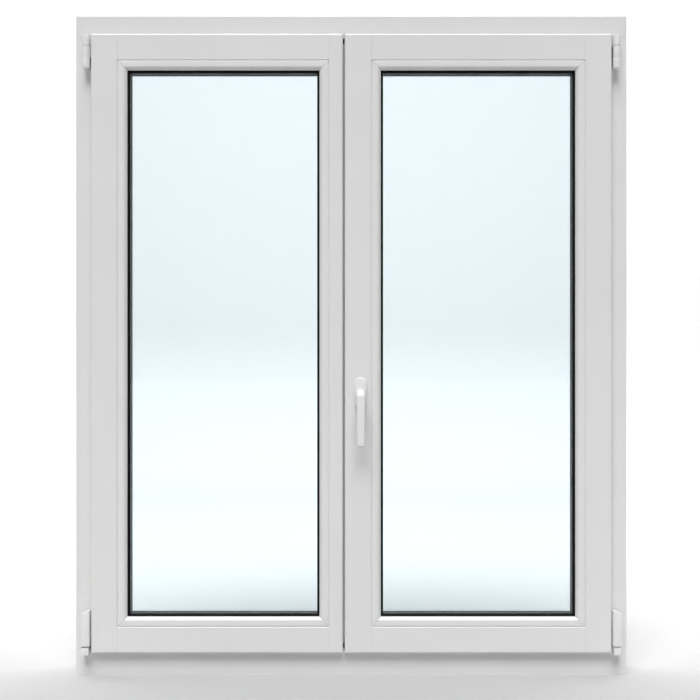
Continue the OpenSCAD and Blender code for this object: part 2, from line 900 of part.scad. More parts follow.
frame_head();
frame_sill();
frame_jamb_left();
frame_jamb_right();
rain_rail();
frame_seal();
fixing_caps();
top_hinge_bearing_left();
top_hinge_bearing_right();
top_hinge_pins();
bottom_hinge_bearing_left();
bottom_hinge_bearing_right();
hinge_screws();
head_keep();
sill_keep();
left_hinge_stile();
left_meeting_stile();
left_top_rail();
left_bottom_rail();
left_inner_pane();
left_outer_pane();
left_spacer();
left_edge_sealant();
left_glazing_beads();
left_inner_gasket();
left_outer_gasket();
left_glazing_blocks();
left_overlap_seal();
left_bottom_band();
left_top_lug();
meeting_batten();
striker();
bolt_plates();
top_bolt();
bottom_bolt();
right_hinge_stile();
right_meeting_stile();
right_top_rail();
right_bottom_rail();
right_inner_pane();
right_outer_pane();
right_spacer();
right_edge_sealant();
right_glazing_beads();
right_inner_gasket();
right_outer_gasket();
right_glazing_blocks();
right_overlap_seal();
tilt_bush();
lock_faceplate();
gearbox_case();
stay_guide();
right_corner_band();
right_stay_arm();
lock_rod();
handle_rosette();
handle_lever();
handle_spindle();
gear_hub();
rosette_screws();
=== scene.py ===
"""Two-leaf casement window of white lacquered timber: the finished look around the fixed frame model.

Everything is in metres, in the frame's own axes: X is the width, Z is up, and the room side faces -Y.
"""
import json
import math

import bpy
import numpy as np
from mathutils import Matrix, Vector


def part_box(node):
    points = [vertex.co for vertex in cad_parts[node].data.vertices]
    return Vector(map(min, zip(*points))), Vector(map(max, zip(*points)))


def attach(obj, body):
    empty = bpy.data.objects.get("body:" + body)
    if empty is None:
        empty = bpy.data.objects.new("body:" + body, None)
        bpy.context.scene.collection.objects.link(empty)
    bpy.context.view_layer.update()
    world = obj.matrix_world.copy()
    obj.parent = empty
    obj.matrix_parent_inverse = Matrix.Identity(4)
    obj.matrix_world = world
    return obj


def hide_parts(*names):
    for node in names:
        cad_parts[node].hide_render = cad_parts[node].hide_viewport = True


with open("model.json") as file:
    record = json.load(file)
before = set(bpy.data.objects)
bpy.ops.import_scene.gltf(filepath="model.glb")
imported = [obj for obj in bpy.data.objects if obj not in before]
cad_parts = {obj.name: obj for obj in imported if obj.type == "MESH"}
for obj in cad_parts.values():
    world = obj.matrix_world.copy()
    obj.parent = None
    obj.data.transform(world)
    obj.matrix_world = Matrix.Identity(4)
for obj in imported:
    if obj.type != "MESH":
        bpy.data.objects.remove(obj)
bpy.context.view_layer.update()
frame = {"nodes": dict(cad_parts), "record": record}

bl_info = {
    "name": "Casement Window Finisher",
    "version": (1, 0, 0),
    "blender": (4, 5, 0),
    "location": "View3D > Sidebar > Window",
    "description": "Adds beads, seals, hinge covers, handle and finishes to a two-leaf casement window",
    "category": "Object",
}

MM = 0.001
# radius of the tiny hole that an n-gon closes at a pole
POLE = 0.05 * MM


def low(node):
    """Lowest corner of a node as an array."""
    return np.array(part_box(node)[0])


def high(node):
    """Highest corner of a node as an array."""
    return np.array(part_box(node)[1])


# ---------------------------------------------------------------- settings

class WindowSizes(bpy.types.PropertyGroup):
    """Sizes of the finished pieces."""
    bead_round: bpy.props.FloatProperty(
        name="Bead rounding", description="Radius on the beads' visible edges",
        default=1.2 * MM, min=0.0, unit="LENGTH")
    bead_slope: bpy.props.FloatProperty(
        name="Bead slope", description="Width of the beads' sloping part",
        default=6 * MM, min=0.0, unit="LENGTH")
    bead_drop: bpy.props.FloatProperty(
        name="Bead drop", description="Depth of the beads' slope",
        default=6 * MM, min=0.0, unit="LENGTH")
    groove: bpy.props.FloatProperty(
        name="Groove chamfer", description="Side of the chamfer at the beads' outer edge",
        default=1.8 * MM, min=0.0, unit="LENGTH")
    gasket_show: bpy.props.FloatProperty(
        name="Gasket showing", description="Width of gasket that shows beside a bead",
        default=5 * MM, min=0.0, unit="LENGTH")
    mitre: bpy.props.FloatProperty(
        name="Mitre gap", description="Half of the fine gap between two mitred beads",
        default=0.25 * MM, min=0.0, unit="LENGTH")
    cover_skin: bpy.props.FloatProperty(
        name="Cover skin", description="How far a clip-on hinge cover stands off the metal under it",
        default=0.25 * MM, min=0.0, unit="LENGTH")
    lever_tip: bpy.props.FloatProperty(
        name="Lever tip rounding", description="Length over which the lever's end closes",
        default=4 * MM, min=0.0, unit="LENGTH")


class WindowColours(bpy.types.PropertyGroup):
    """Colours as sRGB hex values."""
    lacquer: bpy.props.StringProperty(
        name="Lacquer", description="White lacquer on the timber", default="#E3E3E2")
    coat: bpy.props.StringProperty(
        name="Powder coat", description="White powder coat on hinges and handle", default="#E8E8E7")
    seal: bpy.props.StringProperty(
        name="Seal", description="Black elastomer of the seals and gaskets", default="#060606")
    edge: bpy.props.StringProperty(
        name="Glass edge", description="Dark spacer and sealant at the glass edge", default="#2A2C2F")
    glass: bpy.props.StringProperty(
        name="Glass", description="Faint cool tint of the panes", default="#F3F9FB")
    block: bpy.props.StringProperty(
        name="Glazing block", description="Grey plastic blocks under the glass", default="#55585C")
    cap: bpy.props.StringProperty(
        name="Cap", description="White plastic caps over the wall fixings", default="#DEDEDC")
    floor: bpy.props.StringProperty(
        name="Floor", description="Pale floor and backdrop", default="#BCBCBC")
    surround: bpy.props.StringProperty(
        name="Surround", description="Soft light from all round", default="#FBFDFF")


# ---------------------------------------------------------------- mesh helpers

def grid_faces(rows, cols, wrap_rows=False, wrap_cols=False):
    """Quads of a rows x cols grid: (i, j), (i+1, j), (i+1, j+1), (i, j+1), modulo the grid
    where it wraps."""
    i, j = np.meshgrid(np.arange(rows if wrap_rows else rows - 1),
                       np.arange(cols if wrap_cols else cols - 1), indexing="ij")
    a = i * cols + j
    b = (i + 1) % rows * cols + j
    c = (i + 1) % rows * cols + (j + 1) % cols
    d = i * cols + (j + 1) % cols
    return np.stack([a, b, c, d], axis=-1).reshape(-1, 4)


def outward(points, faces):
    """Turns the faces round if the volume, a sixth of the sum of v0 . (v1 x v2) over a fan of
    each face, is negative."""
    total = 0.0
    for face in faces:
        fan = points[np.asarray(face)]
        total += float(np.sum(fan[0] * np.cross(fan[1:-1], fan[2:])))
    return [list(face)[::-1] for face in faces] if total < 0 else [list(face) for face in faces]


def tube(section_rings):
    """Closed shell over rings (rows x cols x 3): each ring wraps, and an n-gon caps the first
    and the last."""
    rows, cols, _ = section_rings.shape
    points = section_rings.reshape(-1, 3)
    faces = grid_faces(rows, cols, wrap_cols=True).tolist()
    faces.append(list(range(cols - 1, -1, -1)))
    faces.append(list(range((rows - 1) * cols, rows * cols)))
    return points, outward(points, faces)


def piece(name, shells, material, body, replaced=(), smooth_deg=35.0):
    """One object from closed shells, finished, riding on its body and standing for the
    replaced nodes."""
    points, faces, start = [], [], 0
    for shell_points, shell_faces in shells:
        points.append(shell_points)
        faces += [[v + start for v in face] for face in shell_faces]
        start += len(shell_points)
    mesh = bpy.data.meshes.new(name)
    mesh.from_pydata(np.concatenate(points).tolist(), [], faces)
    mesh.polygons.foreach_set("use_smooth", np.ones(len(mesh.polygons), dtype=bool))
    mesh.set_sharp_from_angle(angle=math.radians(smooth_deg))
    mesh.update()
    obj = bpy.data.objects.new(name, mesh)
    bpy.context.scene.collection.objects.link(obj)
    mesh.materials.append(material)
    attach(obj, body)
    if replaced:
        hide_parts(*replaced)
    return obj


def rounded(outline, radii, steps=5):
    """A closed outline whose corners become curves (1 - t)^2 p + 2 t (1 - t) c + t^2 q, where c is
    the corner and p and q lie r from it on its two sides, or 0.45 of a side that is short."""
    outline = np.asarray(outline, dtype=float)
    t = np.linspace(0, 1, steps)[:, None]
    share = 0.45
    out = []
    for k, (corner, r) in enumerate(zip(outline, radii)):
        before, after = outline[k - 1] - corner, outline[(k + 1) % len(outline)] - corner
        cut = min(r, share * np.linalg.norm(before), share * np.linalg.norm(after))
        p = corner + before / np.linalg.norm(before) * cut
        q = corner + after / np.linalg.norm(after) * cut
        curve = (1 - t) ** 2 * p + 2 * t * (1 - t) * corner + t ** 2 * q
        out.append(curve if cut > 0 else corner[None])
    return np.concatenate(out)


# ---------------------------------------------------------------- shapes

# the sides of a rectangular ring, level ones first: (start corner, along, inward), as (x, z) with
# 0 low and 1 high for the corner
SIDES = [
    ((0, 0), (1, 0), (0, 1)),
    ((1, 1), (-1, 0), (0, -1)),
    ((1, 0), (0, 1), (-1, 0)),
    ((0, 1), (0, -1), (1, 0)),
]


def ring_bars(x_range, z_range, section, gap=0.0, sides=SIDES, cuts=8):
    """Mitred bars round a rectangle. section is (depth y, inward u). A point at t along a side of
    length L lies at start + along * ((u + gap) + t * (L - 2 * (u + gap))) + inward * u, which cuts
    both ends at 45 degrees."""
    y, u = section[:, 0], section[:, 1]
    t = np.linspace(0, 1, cuts)[:, None]
    shells = []
    for corner, along, inward in sides:
        length = x_range[1] - x_range[0] if along[0] else z_range[1] - z_range[0]
        run = (u + gap) + t * (length - 2 * (u + gap))
        x = x_range[corner[0]] + along[0] * run + inward[0] * u
        z = z_range[corner[1]] + along[1] * run + inward[1] * u
        shells.append(tube(np.stack([x, np.broadcast_to(y, x.shape), z], axis=-1)))
    return shells


def lathe(centre, profile, sides=40):
    """Surface of revolution about an upright axis: (cx + r cos a, cy + r sin a, z) for each (r, z)
    of the profile, whose first and last r are small."""
    a = np.linspace(0, 2 * math.pi, sides, endpoint=False)
    r, z = np.asarray(profile, float).T
    x = centre[0] + r[:, None] * np.cos(a)
    y = centre[1] + r[:, None] * np.sin(a)
    return tube(np.stack([x, y, np.broadcast_to(z[:, None], x.shape)], axis=-1))


def lathe_level(centre, radius, thick):
    """A low round collar about a level axis along Y: (cx + r cos a, y, cz + r sin a), whose rim is
    a quarter round r = R - e + e sin b, y = thick - e (1 - cos b)."""
    b = np.linspace(0, math.pi / 2, 6)
    edge = 1.2 * MM
    r = np.concatenate([[POLE, radius - edge], radius - edge + edge * np.sin(b), [radius, POLE]])
    y = np.concatenate([[thick, thick], thick - edge * (1 - np.cos(b)), [0, 0]])
    a = np.linspace(0, 2 * math.pi, 48, endpoint=False)
    x = centre[0] + r[:, None] * np.cos(a)
    z = centre[2] + r[:, None] * np.sin(a)
    return tube(np.stack([x, np.broadcast_to((centre[1] - y)[:, None], x.shape), z], axis=-1))


def soft_ends(radius, z0, z1, r_end, steps=6):
    """Profile of a round bar with quarter-round ends: r = R - e + e sin b, at e (1 - cos b) in
    from each end."""
    b = np.linspace(0, math.pi / 2, steps)
    r = radius - r_end + r_end * np.sin(b)
    drop = r_end * (1 - np.cos(b))
    lower = np.stack([r, z0 + drop], axis=1)
    upper = np.stack([r[::-1], z1 - drop[::-1]], axis=1)
    return np.concatenate([[[POLE, z0]], lower, upper, [[POLE, z1]]])


def pillow(x_range, y_range, z_range, corner, edge, slope=0.0, steps=6):
    """Upright cover with rounded corners and edges. The outline is a rounded rectangle drawn in by
    d = e (1 - sin b) near each end, at e (1 - cos b) from that end. The top falls by slope times
    the distance from the wall nearest the window's middle."""
    b = np.linspace(0, math.pi / 2, steps)
    inset = np.concatenate([edge * (1 - np.sin(b)), edge * (1 - np.sin(b[::-1]))])
    height = np.concatenate([z_range[0] + edge * (1 - np.cos(b)),
                             z_range[1] - edge * (1 - np.cos(b[::-1]))])
    is_top = np.concatenate([np.zeros(steps), np.ones(steps)])
    rings = []
    for d, z, top in zip(inset, height, is_top):
        box = [(x_range[0] + d, y_range[0] + d), (x_range[1] - d, y_range[0] + d),
               (x_range[1] - d, y_range[1] - d), (x_range[0] + d, y_range[1] - d)]
        ring = rounded(box, [max(corner - d, 0.2 * MM)] * 4)
        outer = np.abs(ring[:, 0]) - min(abs(x_range[0]), abs(x_range[1]))
        rings.append(np.column_stack([ring, z - top * slope * outer]))
    return tube(np.stack(rings))


# (radius, height) from a screw head's sunk rim to its pole, as shares of its radius
HEAD_PROFILE = ((1.0, -0.5), (1.0, -0.1), (0.97, 0.02), (0.9, 0.06), (0.62, 0.1),
                (0.5, 0.11), (0.44, 0.12), (0.36, 0.12), (0.2, 0.12), (0.02, 0.12))


def screw_head(centre, normal, radius):
    """Low domed head: centre + r (u cos a + v sin a) + h n, where r and h come from HEAD_PROFILE
    times R. A cross socket is pressed in by 0.55 R inside 0.52 R: its four arms are where |cos 2a|
    is over 0.55, and its round middle is 0.22 R."""
    a = np.linspace(0, 2 * math.pi, 32, endpoint=False)
    r, h = np.array(HEAD_PROFILE).T[:, :, None] * radius
    arms = np.clip((np.abs(np.cos(2 * a)) - 0.55) / 0.3, 0, 1)[None]
    middle = np.clip((0.22 * radius - r) / (0.05 * radius), 0, 1)
    inside = np.clip((0.52 * radius - r) / (0.1 * radius), 0, 1)
    h = h - 0.55 * radius * inside * np.maximum(arms, middle)
    normal = np.asarray(normal, float)
    u = np.cross(normal, [0.0, 0.0, 1.0] if abs(normal[2]) < 0.9 else [1.0, 0.0, 0.0])
    v = np.cross(normal, u)
    points = (np.asarray(centre) + r[..., None] * np.cos(a)[None, :, None] * u
              + r[..., None] * np.sin(a)[None, :, None] * v + h[..., None] * normal)
    return tube(points)


# ---------------------------------------------------------------- materials

def linear(hex_code, alpha=1.0):
    """sRGB hex to a linear RGBA tuple: c / 12.92 below 0.04045, else ((c + 0.055) / 1.055) ** 2.4."""
    c = np.array([int(hex_code[i:i + 2], 16) for i in (1, 3, 5)]) / 255
    c = np.where(c <= 0.04045, c / 12.92, ((c + 0.055) / 1.055) ** 2.4)
    return (*[float(v) for v in c], alpha)


def add_node(tree, kind, settings=None, values=None, links=None):
    """Adds a node, sets its attributes and sockets, and links its inputs from other nodes' outputs."""
    node = tree.nodes.new(kind)
    for key, value in (settings or {}).items():
        setattr(node, key, value)
    for key, value in (values or {}).items():
        node.inputs[key].default_value = value
    for key, source in (links or {}).items():
        tree.links.new(source, node.inputs[key])
    return node


def blank(name, **shader_values):
    """A material with one Principled shader: (material, tree, shader, object coordinates)."""
    material = bpy.data.materials.new(name)
    material.use_nodes = True
    tree = material.node_tree
    tree.nodes.clear()
    shader = add_node(tree, "ShaderNodeBsdfPrincipled",
                      values={key.replace("_", " "): value for key, value in shader_values.items()})
    add_node(tree, "ShaderNodeOutputMaterial", links={"Surface": shader.outputs["BSDF"]})
    coordinates = add_node(tree, "ShaderNodeTexCoord").outputs["Object"]
    return material, tree, shader, coordinates


def noise(tree, coordinates, size_mm, stretch=(1, 1, 1), detail=3.0, roughness=0.5):
    """Noise whose features are about size_mm across, drawn out by stretch along each axis."""
    scale = [1 / (size_mm * MM * s) for s in stretch]
    mapped = add_node(tree, "ShaderNodeMapping", values={"Scale": scale}, links={"Vector": coordinates})
    return add_node(tree, "ShaderNodeTexNoise",
                    values={"Scale": 1.0, "Detail": detail, "Roughness": roughness},
                    links={"Vector": mapped.outputs["Vector"]}).outputs["Fac"]


def spread(tree, factor, low_value, high_value, from_low=0.3, from_high=0.7):
    """Maps a pattern's range onto the given values."""
    return add_node(tree, "ShaderNodeMapRange",
                    values={"From Min": from_low, "From Max": from_high,
                            "To Min": low_value, "To Max": high_value},
                    links={"Value": factor}).outputs["Result"]


def two_tone(tree, factor, dark, light):
    """Mixes two linear colours by a factor."""
    mix = add_node(tree, "ShaderNodeMix", {"data_type": "RGBA"}, links={0: factor})
    mix.inputs[6].default_value = dark
    mix.inputs[7].default_value = light
    return mix.outputs[2]


def bump(tree, height, depth_mm, strength, normal=None):
    """Bump of a real depth in mm."""
    links = {"Height": height}
    if normal is not None:
        links["Normal"] = normal
    return add_node(tree, "ShaderNodeBump", values={"Distance": depth_mm * MM, "Strength": strength},
                    links=links).outputs["Normal"]


def shade(hex_code, factor):
    """The linear colour of a hex code, darkened by a factor."""
    return tuple(v * factor for v in linear(hex_code)[:3]) + (1.0,)


# second tones: dust on rubber, vent dots in the spacer, and the dark and light of each metal
DUST = "#151516"
VENT_DOT = "#08090A"
ZINC_TONES = ("#A9ABA8", "#CDCECB")
ALUMINIUM_TONES = ("#B9BBBC", "#C9CBCC")


def lacquered_timber(name, colour, grain_axis):
    """Pine under sprayed white satin lacquer: the lacquer's orange peel is about 2 mm across, and
    the grain telegraphs through as faint lines 3 mm apart and 60 mm long along the member."""
    material, tree, shader, at = blank(name, IOR=1.5, Coat_Weight=0.12, Coat_Roughness=0.2)
    stretch = [1.0, 1.0, 1.0]
    stretch["XZ".index(grain_axis) * 2] = 20.0
    grain = noise(tree, at, size_mm=3.0, stretch=stretch, detail=4.0)
    cloud = noise(tree, at, size_mm=180.0, detail=2.0)
    peel = noise(tree, at, size_mm=2.0, detail=1.0)
    # fine grain lines laid over broad clouds
    tone = add_node(tree, "ShaderNodeMath", {"operation": "MULTIPLY_ADD"},
                    {1: 0.35}, {0: grain, 2: spread(tree, cloud, 0.1, 0.6)}).outputs[0]
    tree.links.new(two_tone(tree, tone, shade(colour, 0.955), linear(colour)),
                   shader.inputs["Base Color"])
    tree.links.new(spread(tree, cloud, 0.34, 0.42), shader.inputs["Roughness"])
    fine = bump(tree, peel, depth_mm=0.02, strength=0.35)
    tree.links.new(bump(tree, grain, depth_mm=0.05, strength=0.3, normal=fine),
                   shader.inputs["Normal"])
    return material


def powder_coat(name, colour):
    """Baked polyester powder on die-cast zinc: even white, satin, with a fine pebbled skin about
    0.8 mm across."""
    material, tree, shader, at = blank(name, IOR=1.5, Coat_Weight=0.1, Coat_Roughness=0.3)
    pebble = noise(tree, at, size_mm=0.8, detail=1.0)
    wear = noise(tree, at, size_mm=25.0)
    tree.links.new(two_tone(tree, wear, shade(colour, 0.96), linear(colour)),
                   shader.inputs["Base Color"])
    tree.links.new(spread(tree, wear, 0.4, 0.5), shader.inputs["Roughness"])
    tree.links.new(bump(tree, pebble, depth_mm=0.03, strength=0.3), shader.inputs["Normal"])
    return material


def extruded_rubber(name, colour):
    """Synthetic rubber seal, extruded and talced: near black and matt, with a skin of fine pits
    0.5 mm across and faint dust in patches of 14 mm."""
    material, tree, shader, at = blank(name, IOR=1.52, Specular_IOR_Level=0.15)
    pits = noise(tree, at, size_mm=0.5)
    dust = noise(tree, at, size_mm=14.0, detail=4.0)
    tree.links.new(two_tone(tree, spread(tree, dust, 0.0, 0.5), linear(colour), linear(DUST)),
                   shader.inputs["Base Color"])
    tree.links.new(spread(tree, dust, 0.62, 0.8), shader.inputs["Roughness"])
    tree.links.new(bump(tree, pits, depth_mm=0.04, strength=0.4), shader.inputs["Normal"])
    return material


def spacer_composite(name, colour):
    """Warm-edge spacer and butyl at the glass edge: dark grey, dull, with vent dots 4 mm apart."""
    material, tree, shader, at = blank(name, Roughness=0.55, IOR=1.5)
    dots = add_node(tree, "ShaderNodeTexVoronoi", {"feature": "F1"},
                    {"Scale": 1 / (4 * MM), "Randomness": 0.0}, {"Vector": at}).outputs["Distance"]
    hole = spread(tree, dots, 0.0, 1.0, 0.1, 0.2)
    tree.links.new(two_tone(tree, hole, linear(VENT_DOT), linear(colour)),
                   shader.inputs["Base Color"])
    tree.links.new(bump(tree, hole, depth_mm=0.2, strength=0.4), shader.inputs["Normal"])
    return material


def float_glass(name, colour):
    """Clear soda-lime float glass, 5 mm: nearly colourless with a faint cool tint, and rolled waves
    120 mm long, far too shallow to see except in a reflection."""
    material, tree, shader, at = blank(name, Roughness=0.0, IOR=1.52, Transmission_Weight=1.0)
    shader.inputs["Base Color"].default_value = linear(colour)
    wave = noise(tree, at, size_mm=120.0, stretch=(1, 1, 3), detail=1.0)
    tree.links.new(bump(tree, wave, depth_mm=0.02, strength=0.05), shader.inputs["Normal"])
    return material


def zinc_steel(name):
    """Zinc-plated pressed steel: pale grey metal with a silvery bloom about 6 mm across, and upright
    drawing lines 0.4 mm apart."""
    material, tree, shader, at = blank(name, Metallic=1.0)
    bloom = noise(tree, at, size_mm=6.0, detail=5.0)
    drawn = noise(tree, at, size_mm=0.4, stretch=(1, 1, 40))
    tree.links.new(two_tone(tree, bloom, *map(linear, ZINC_TONES)), shader.inputs["Base Color"])
    tree.links.new(spread(tree, bloom, 0.28, 0.45), shader.inputs["Roughness"])
    tree.links.new(bump(tree, drawn, depth_mm=0.02, strength=0.3), shader.inputs["Normal"])
    return material


def anodised_aluminium(name):
    """Natural anodised extrusion: satin silver grey with die lines along its length, 0.6 mm apart."""
    material, tree, shader, at = blank(name, Metallic=1.0)
    die = noise(tree, at, size_mm=0.6, stretch=(200, 1, 1))
    stain = noise(tree, at, size_mm=40.0, detail=4.0)
    tree.links.new(two_tone(tree, stain, *map(linear, ALUMINIUM_TONES)),
                   shader.inputs["Base Color"])
    tree.links.new(spread(tree, stain, 0.32, 0.44), shader.inputs["Roughness"])
    tree.links.new(bump(tree, die, depth_mm=0.03, strength=0.5), shader.inputs["Normal"])
    return material


def moulded_plastic(name, colour):
    """Moulded polypropylene or ABS: one colour with a spark-eroded texture about 0.6 mm across."""
    material, tree, shader, at = blank(name, IOR=1.5)
    spark = noise(tree, at, size_mm=0.6, detail=1.0)
    scuff = noise(tree, at, size_mm=18.0, detail=4.0)
    tree.links.new(two_tone(tree, scuff, shade(colour, 0.88), linear(colour)),
                   shader.inputs["Base Color"])
    tree.links.new(spread(tree, scuff, 0.42, 0.58), shader.inputs["Roughness"])
    tree.links.new(bump(tree, spark, depth_mm=0.04, strength=0.4), shader.inputs["Normal"])
    return material


# filled by make_finishes, read by every later step
FINISH = {}


def make_finishes():
    """Makes every finish once, named for the real material."""
    colours = bpy.context.scene.window_colours
    FINISH.update({
        "timber_upright": lacquered_timber("white lacquered pine, upright grain",
                                           colours.lacquer, "Z"),
        "timber_level": lacquered_timber("white lacquered pine, level grain",
                                         colours.lacquer, "X"),
        "coat": powder_coat("white powder coated zinc", colours.coat),
        "rubber": extruded_rubber("black extruded rubber", colours.seal),
        "glass_edge": spacer_composite("dark spacer and sealant", colours.edge),
        "glass": float_glass("clear float glass", colours.glass),
        "steel": zinc_steel("zinc plated steel"),
        "aluminium": anodised_aluminium("anodised aluminium"),
        "block": moulded_plastic("grey moulded polypropylene", colours.block),
        "cap": moulded_plastic("white moulded cap", colours.cap),
    })


# members whose grain runs level; all other timber is upright
LEVEL_MEMBERS = ("frame_head", "frame_sill", "left_top_rail", "left_bottom_rail", "right_top_rail",
                 "right_bottom_rail")
SLOT_FINISH = {
    "white_timber": "timber_upright",
    "white_metal": "coat",
    "glass": "glass",
    "rubber_seal": "rubber",
    "edge_black": "glass_edge",
    "block_plastic": "block",
    "cap_plastic": "cap",
    "rail_aluminium": "aluminium",
    "zinc_steel": "steel",
}


# ---------------------------------------------------------------- operators

LEAVES = ("left", "right")
# a bead covers the rebate down to the timber's inner edge, which is the stile's high side
BEAD_WIDE = float(high("left_hinge_stile")[0] - low("left_glazing_beads")[0])
# the right leaf also tilts, so its hinge parts ride on a bracket and an arm of their own
BRACKET_BODY = {"left": "left_leaf", "right": "turn_bracket"}
LUG_BODY = {"left": "left_leaf", "right": "stay_arm"}


def opening(leaf):
    """Ranges of X and Z of a leaf's glazing rebate, from its bead node."""
    lo, hi = low(f"{leaf}_glazing_beads"), high(f"{leaf}_glazing_beads")
    return (lo[0], hi[0]), (lo[2], hi[2])


class WINDOW_OT_finishes(bpy.types.Operator):
    """Makes the finishes and gives one to every node of the frame model"""
    bl_idname = "window.finishes"
    bl_label = "Finishes"

    def execute(self, context):
        make_finishes()
        for part in frame["record"]["subparts"]:
            node = part["node"]
            key = "timber_level" if node in LEVEL_MEMBERS else SLOT_FINISH[part["material_slot"]]
            slots = frame["nodes"][node].material_slots
            if not slots:
                raise RuntimeError(f"{node} has no material slot")
            for material_slot in slots:
                material_slot.material = FINISH[key]
        return {"FINISHED"}


class WINDOW_OT_beads(bpy.types.Operator):
    """Makes the mitred glazing beads with softened edges"""
    bl_idname = "window.beads"
    bl_label = "Glazing beads"

    def execute(self, context):
        sizes = context.scene.window_sizes
        for leaf in LEAVES:
            x_range, z_range = opening(leaf)
            node = f"{leaf}_glazing_beads"
            room, back, wide = low(node)[1], high(node)[1], BEAD_WIDE
            outline = [(room + sizes.groove, 0), (room, sizes.groove),
                       (room, wide - sizes.bead_slope), (room + sizes.bead_drop, wide),
                       (back, wide), (back, 0)]
            r, hidden = sizes.bead_round, 0.3 * MM
            section = rounded(outline, [hidden, 0.5 * MM, r * 1.6, r, hidden, hidden])
            for label, sides in (("level", SIDES[:2]), ("upright", SIDES[2:])):
                # the node is listed once, on the level pair
                piece(f"{leaf}_beads_{label}",
                      ring_bars(x_range, z_range, section, sizes.mitre, sides),
                      FINISH[f"timber_{label}"], f"{leaf}_leaf",
                      (node,) if label == "level" else ())
        return {"FINISHED"}


class WINDOW_OT_seals(bpy.types.Operator):
    """Makes the lips of the inner and outer glazing gaskets"""
    bl_idname = "window.seals"
    bl_label = "Glazing gaskets"

    def execute(self, context):
        sizes = context.scene.window_sizes
        for leaf in LEAVES:
            x_range, z_range = opening(leaf)
            for side in ("inner", "outer"):
                node = f"{leaf}_{side}_gasket"
                lo, hi = low(node), high(node)
                u0, u1 = lo[0] - x_range[0], BEAD_WIDE + sizes.gasket_show
                y0, y1 = (lo[1], hi[1]) if side == "inner" else (hi[1], lo[1])
                swell = (y1 - y0) * 0.2
                # flat foot under the timber, then a lip that swells and feathers down to the glass
                outline = [(y0, u0), (y0, BEAD_WIDE), (y0 - swell, (BEAD_WIDE + u1) / 2),
                           (y0, u1 - 0.6 * MM), (y1, u1), (y1, u0)]
                radii = np.array([0.3, 0.4, 1.2, 0.8, 0.2, 0.3]) * MM
                piece(f"{leaf}_{side}_gasket_lip",
                      ring_bars(x_range, z_range, rounded(outline, radii, 4)),
                      FINISH["rubber"], f"{leaf}_leaf", (node,))
        return {"FINISHED"}


# how far the bottom bearing's pin stands up inside the leaf's cover
BAND_PIN = 28 * MM
# how far each shell of a top barrel runs past its bearing, and its gap to the knuckle
BARREL_OVER = 1.5 * MM
KNUCKLE_GAP = 0.3 * MM
# inner and outer side of the frame's bearing cover, from the leaf lip's edge
BEARING_COVER = (3.0 * MM, 19.4 * MM)


class WINDOW_OT_hinge_covers(bpy.types.Operator):
    """Makes the rounded barrels of the top hinges and the clip-on covers of the bottom hinges"""
    bl_idname = "window.hinge_covers"
    bl_label = "Hinge covers"

    def execute(self, context):
        skin = context.scene.window_sizes.cover_skin
        for leaf, sign in (("left", -1), ("right", 1)):
            node = f"top_hinge_bearing_{leaf}"
            bearing_lo, bearing_hi = low(node), high(node)
            radius = (bearing_hi[0] - bearing_lo[0]) / 2
            centre = ((bearing_lo[0] + bearing_hi[0]) / 2, low(f"{leaf}_hinge_stile")[1])
            middle_z0, middle_z1 = low("left_top_lug")[2], high("left_top_lug")[2]
            lower = bearing_lo[2] - BARREL_OVER, middle_z0 - KNUCKLE_GAP
            upper = middle_z1 + KNUCKLE_GAP, bearing_hi[2] + BARREL_OVER
            fixed = [lathe(centre, soft_ends(radius + skin, z0, z1, 1.2 * MM))
                     for z0, z1 in (lower, upper)]
            piece(f"{leaf}_top_hinge_barrel", fixed, FINISH["coat"], "frame")
            # the moving knuckle is a little thinner than the barrel
            knuckle = soft_ends(radius - 0.5 * MM + skin, middle_z0, middle_z1, 0.5 * MM)
            piece(f"{leaf}_top_hinge_knuckle", [lathe(centre, knuckle)],
                  FINISH["coat"], LUG_BODY[leaf])
            self.band_cover(leaf, sign, skin)
        return {"FINISHED"}

    def band_cover(self, leaf, sign, skin):
        """The leaf's cover, whose top slopes down outward, and the smaller one on the frame's
        bearing."""
        band = "left_bottom_band" if leaf == "left" else "right_corner_band"
        block_lo = low(f"bottom_hinge_bearing_{leaf}")
        lip_x = abs(low("left_hinge_stile")[0])
        room = low(f"{leaf}_hinge_stile")[1]
        outer = max(abs(low(band)[0]), abs(high(band)[0]))
        base = high("bottom_hinge_bearing_left")[2] - BAND_PIN
        xs = sorted((sign * (lip_x + 0.9 * MM), sign * (outer + skin)))
        cover = pillow(xs, (low(band)[1] - skin, room + 9 * MM + skin),
                       (base, high(band)[2] + 1.0 * MM),
                       corner=3.2 * MM, edge=1.6 * MM, slope=0.42)
        piece(f"{leaf}_bottom_hinge_cover", [cover], FINISH["coat"], BRACKET_BODY[leaf])
        xs = sorted(sign * (lip_x + side) for side in BEARING_COVER)
        cover = pillow(xs, (block_lo[1] - 2.0 * MM, -0.5 * MM + low("frame_sill")[1]),
                       (block_lo[2] - 0.6 * MM, base - 2.4 * MM),
                       corner=2.4 * MM, edge=1.2 * MM)
        piece(f"{leaf}_bearing_cover", [cover], FINISH["coat"], "frame")


# the blade's half width and half thickness at its top, and what each loses down to the tip
BLADE_WIDE = (9.4 * MM, 1.4 * MM)
BLADE_THICK = (6.2 * MM, 1.0 * MM)
# half thickness of the neck, and radius of the bend from neck to blade
NECK_THICK = 8.9 * MM
BEND = 9.4 * MM
# rings along neck, bend and blade
NECK_RINGS, BEND_RINGS, BLADE_RINGS = 10, 13, 39


